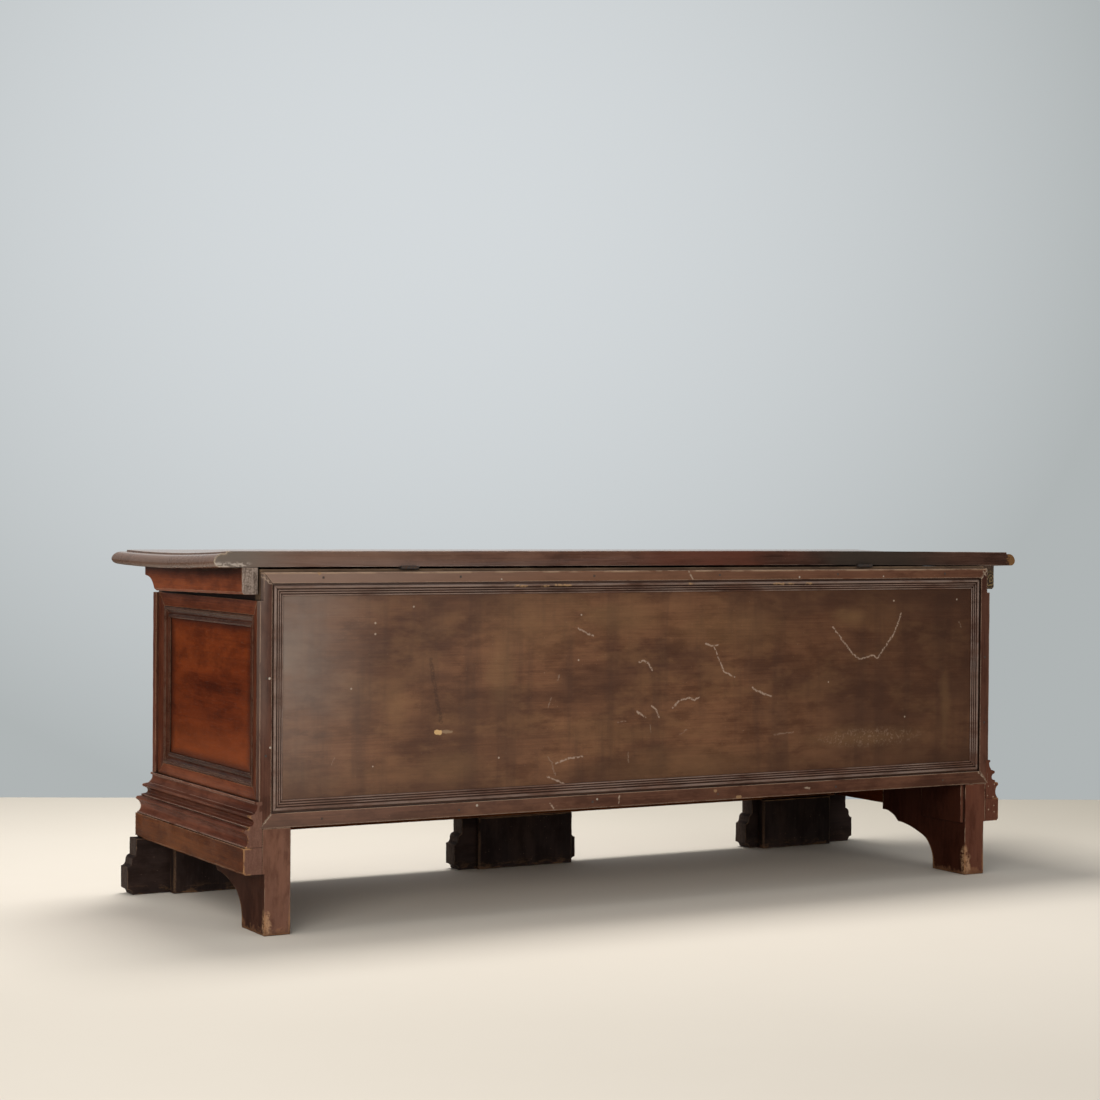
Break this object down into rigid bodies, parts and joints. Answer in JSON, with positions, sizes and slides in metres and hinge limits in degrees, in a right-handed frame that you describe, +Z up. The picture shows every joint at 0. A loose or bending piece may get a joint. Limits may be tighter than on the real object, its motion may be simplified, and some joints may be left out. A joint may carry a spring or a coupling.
{
  "type": "cassone",
  "caption": "Long low wooden chest on bracket feet, with framed and moulded faces, a stepped base moulding and a rear-hinged lid with a thumbnail edge.",
  "frame": {"origin": "centre of the bounding box on the floor under the feet", "axes": "+X along the chest towards its left end as seen from behind, -Y towards the front, +Z up"},
  "size_m": [1.647, 0.52, 0.6185],
  "materials": {
    "iron": "dark oiled iron with light rust",
    "inside_boards": "plain sawn boards, unpolished",
    "back_boards": "worn walnut stain, dull",
    "back_frame": "worn walnut stain, dull, rubbed arrises",
    "panel_boards": "polished red-brown walnut",
    "faces": "polished dark walnut",
    "base_moulding": "polished dark walnut, rubbed ridges",
    "plinth": "polished walnut",
    "dark_feet": "almost black stain, matt",
    "rear_feet": "matt brown stain, worn corners",
    "lid": "polished dark walnut",
    "lid_trim": "polished walnut, darker at the top"
  },
  "bodies": {
    "case": {"back_board": "back_boards", "back_panel": "back_boards", "back_panel_moulding": "back_frame", "back_rail_bottom": "back_frame", "back_rail_top": "back_frame", "back_stile_left": "back_frame", "back_stile_right": "back_frame", "base_moulding_front": "base_moulding", "base_moulding_left": "base_moulding", "base_moulding_right": "base_moulding", "bottom_plank_front": "inside_boards", "bottom_plank_middle": "inside_boards", "bottom_plank_rear": "inside_boards", "end_panel_moulding_left": "faces", "end_panel_moulding_right": "faces", "end_rail_bottom_left": "faces", "end_rail_bottom_right": "faces", "end_rail_top_left": "faces", "end_rail_top_right": "faces", "end_stile_front_left": "faces", "end_stile_front_right": "faces", "end_stile_rear_left": "faces", "end_stile_rear_right": "faces", "foot_block_left": "dark_feet", "foot_block_middle": "dark_feet", "foot_block_right": "dark_feet", "foot_packing": "dark_feet", "frame_nails": "iron", "front_board": "panel_boards", "front_foot_left": "dark_feet", "front_foot_middle": "dark_feet", "front_foot_right": "dark_feet", "front_muntin": "faces", "front_panel_moulding_left": "faces", "front_panel_moulding_right": "faces", "front_rail_bottom": "faces", "front_rail_top": "faces", "front_stile_left": "faces", "front_stile_right": "faces", "hinge_leaf_lower_left": "iron", "hinge_leaf_lower_right": "iron", "hinge_pin_left": "iron", "hinge_pin_right": "iron", "plinth_front": "plinth", "plinth_left": "plinth", "plinth_right": "plinth", "rear_foot_left": "rear_feet", "rear_foot_right": "rear_feet", "side_board_left": "panel_boards", "side_board_right": "panel_boards"},
    "lid": {"hinge_leaf_upper_left": "iron", "hinge_leaf_upper_right": "iron", "lid_batten_left": "lid_trim", "lid_batten_right": "lid_trim", "lid_board": "lid"}
  },
  "joints": [
    {"name": "lid_hinge", "type": "hinge", "parent": "case", "child": "lid", "pos_m": [0, 0.2494, 0.5907], "axis": [-1, 0, 0], "range_deg": [0, 100]}
  ]
}
